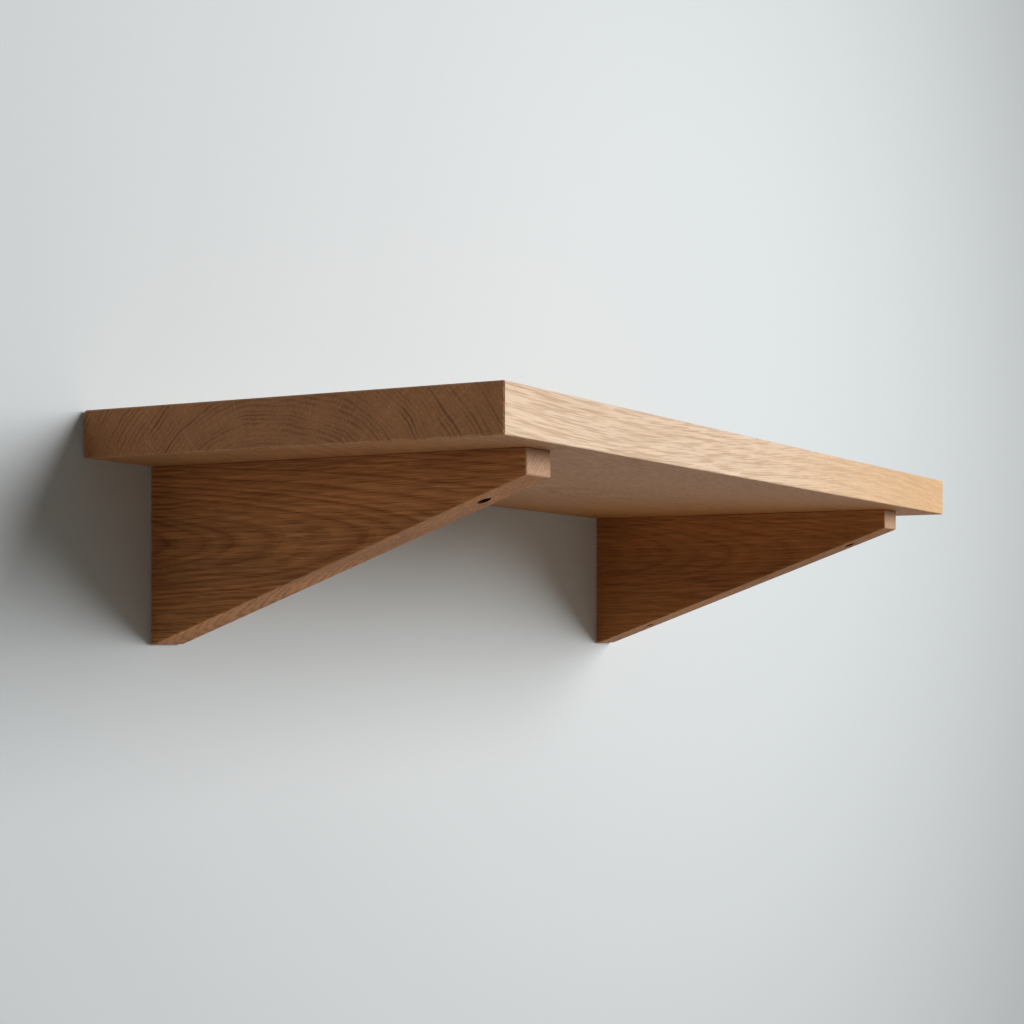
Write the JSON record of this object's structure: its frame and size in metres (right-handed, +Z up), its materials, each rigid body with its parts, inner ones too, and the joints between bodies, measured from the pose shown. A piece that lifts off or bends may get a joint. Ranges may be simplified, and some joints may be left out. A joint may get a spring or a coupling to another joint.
{
  "type": "wall shelf with triangular brackets",
  "caption": "Solid oak wall shelf: a thick board on tapered triangular brackets, doweled and screwed from below and hung on keyhole plates let into the brackets' backs.",
  "frame": {"origin": "middle of the board's back face, on the wall plane, half way along the board and half way up its thickness", "axes": "+X to the right along the wall, +Y into the wall, +Z up"},
  "size_m": [0.8, 0.3, 0.145],
  "materials": {
    "oak": "satin",
    "beech": "matte",
    "zinc_steel": "satin"
  },
  "bodies": {
    "root": {"shelf_board": "oak", "left_bracket": "oak", "right_bracket": "oak", "left_rear_dowel": "beech", "left_middle_dowel": "beech", "right_rear_dowel": "beech", "right_middle_dowel": "beech", "left_front_screw": "zinc_steel", "right_front_screw": "zinc_steel", "left_keyhole_plate": "zinc_steel", "right_keyhole_plate": "zinc_steel", "left_upper_plate_screw": "zinc_steel", "left_lower_plate_screw": "zinc_steel", "right_upper_plate_screw": "zinc_steel", "right_lower_plate_screw": "zinc_steel"}
  },
  "joints": []
}
